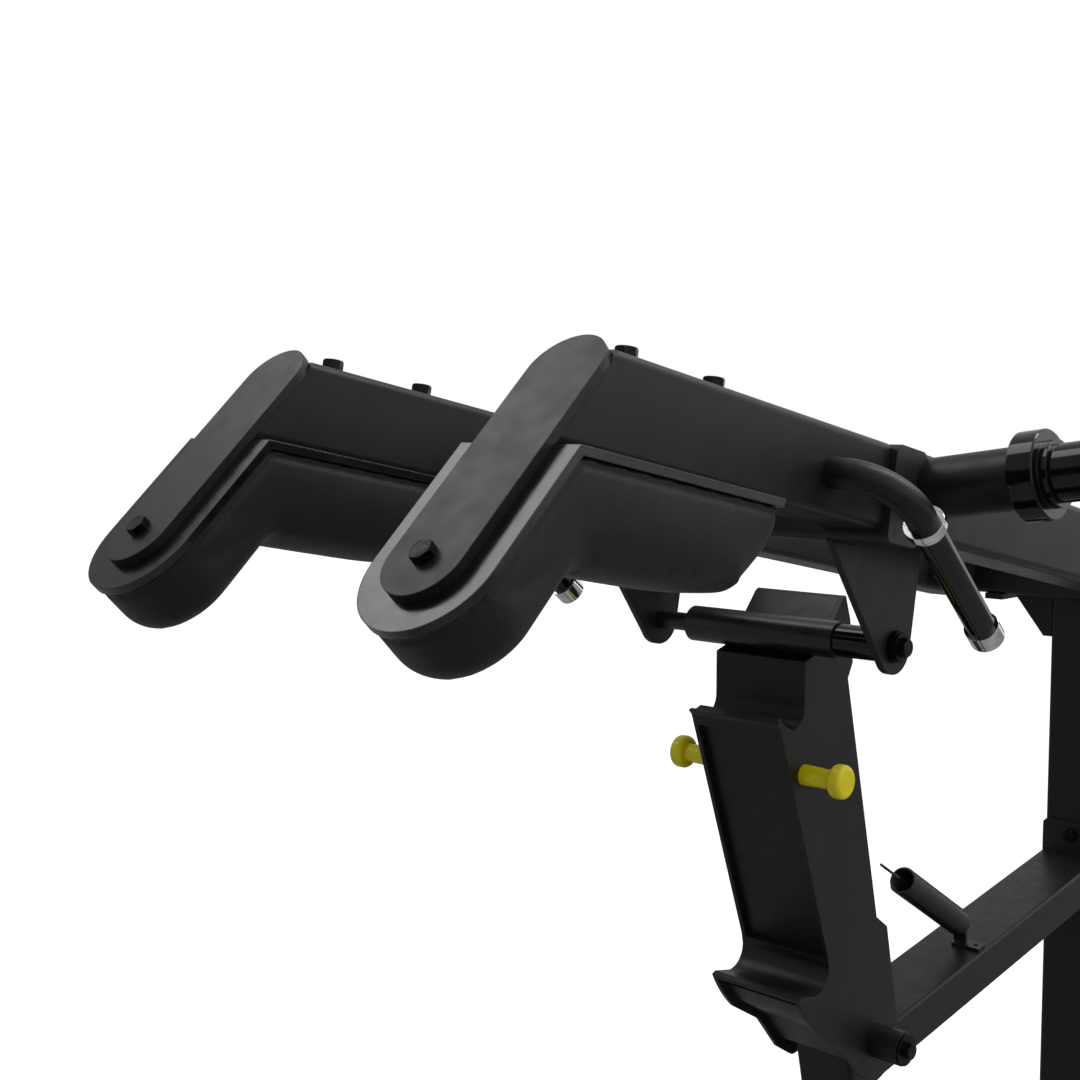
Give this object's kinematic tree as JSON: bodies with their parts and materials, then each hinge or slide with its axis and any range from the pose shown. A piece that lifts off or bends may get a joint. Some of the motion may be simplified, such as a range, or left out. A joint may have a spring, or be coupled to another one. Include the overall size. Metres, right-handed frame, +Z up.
{
  "type": "plate-loaded squat machine",
  "caption": "Free-standing plate-loaded squat machine with shoulder pads on a pivoted lever, weight horns, side handles and a swinging catch under a rest roller.",
  "frame": {"origin": "on the floor, at the middle of the base", "axes": "+Z up; the user stands at -Y and faces +Y, towards the upright; +X is the right-hand side"},
  "size_m": [1.268, 1.76, 1.6415],
  "materials": {
    "powder_coat": "satin black powder coat",
    "upholstery": "matte black upholstery",
    "gloss_board": "gloss black backing board",
    "gloss_black": "gloss black finish",
    "chrome_trim": "polished chrome",
    "yellow_plastic": "gloss yellow",
    "black_rubber": "matte black rubber",
    "end_cap_plastic": "matte black plastic",
    "blackened_bolts": "black oxide",
    "bright_steel": "turned steel",
    "dark_steel": "satin black"
  },
  "bodies": {
    "frame": {"anchor_tabs": "powder_coat", "bearing_housings": "powder_coat", "bearing_nut_plates": "powder_coat", "catch_axle": "bright_steel", "catch_axle_bolts": "blackened_bolts", "catch_post": "powder_coat", "catch_spring": "dark_steel", "catch_stop": "black_rubber", "column_flanges": "powder_coat", "foot_mat": "black_rubber", "foot_plate": "powder_coat", "frame_bolts": "blackened_bolts", "frame_end_caps": "end_cap_plastic", "front_foot": "powder_coat", "front_spine": "powder_coat", "head_gussets": "powder_coat", "head_tube": "powder_coat", "middle_foot": "powder_coat", "rear_foot": "powder_coat", "rear_spine": "powder_coat", "rubber_feet": "black_rubber", "spring_bracket": "dark_steel", "strut": "powder_coat", "strut_plate": "powder_coat", "upright": "powder_coat"},
    "lever": {"arm_bolts": "blackened_bolts", "arm_left": "powder_coat", "arm_right": "powder_coat", "end_plates": "powder_coat", "handle_bars": "powder_coat", "handle_collars": "chrome_trim", "handle_end_caps": "chrome_trim", "handle_grips": "gloss_black", "horn_sleeve_caps": "gloss_black", "horn_sleeve_left": "gloss_black", "horn_sleeve_right": "gloss_black", "horn_stops": "gloss_black", "horn_tubes": "powder_coat", "lever_cross_tube": "powder_coat", "lever_end_caps": "end_cap_plastic", "lug_block": "powder_coat", "pad_boards": "gloss_board", "pivot_axle": "bright_steel", "pivot_axle_bolts": "blackened_bolts", "pivot_plates": "powder_coat", "roller_axle": "dark_steel", "roller_axle_bolts": "blackened_bolts", "roller_lugs": "powder_coat", "roller_spacer": "gloss_black", "shoulder_pad_left": "upholstery", "shoulder_pad_right": "upholstery", "side_beam_left": "powder_coat", "side_beam_right": "powder_coat"},
    "catch": {"catch_hubs": "powder_coat", "catch_knobs": "yellow_plastic", "catch_lower_cradle": "powder_coat", "catch_panels": "powder_coat", "catch_sides": "powder_coat", "catch_upper_cradle": "powder_coat"},
    "roller": {"rest_roller": "dark_steel"}
  },
  "joints": [
    {"name": "lever_swing", "type": "hinge", "parent": "frame", "child": "lever", "pos_m": [0, 0.785, 1.4405], "axis": [-1, 0, 0], "range_deg": [0, 10]},
    {"name": "catch_swing", "type": "hinge", "parent": "frame", "child": "catch", "pos_m": [0, 0.1663, 0.9177], "axis": [-1, 0, 0], "range_deg": [0, 15]},
    {"name": "roller_spin", "type": "hinge", "parent": "lever", "child": "roller", "pos_m": [0, 0.0354, 1.3682], "axis": [1, 0, 0], "continuous": true}
  ]
}
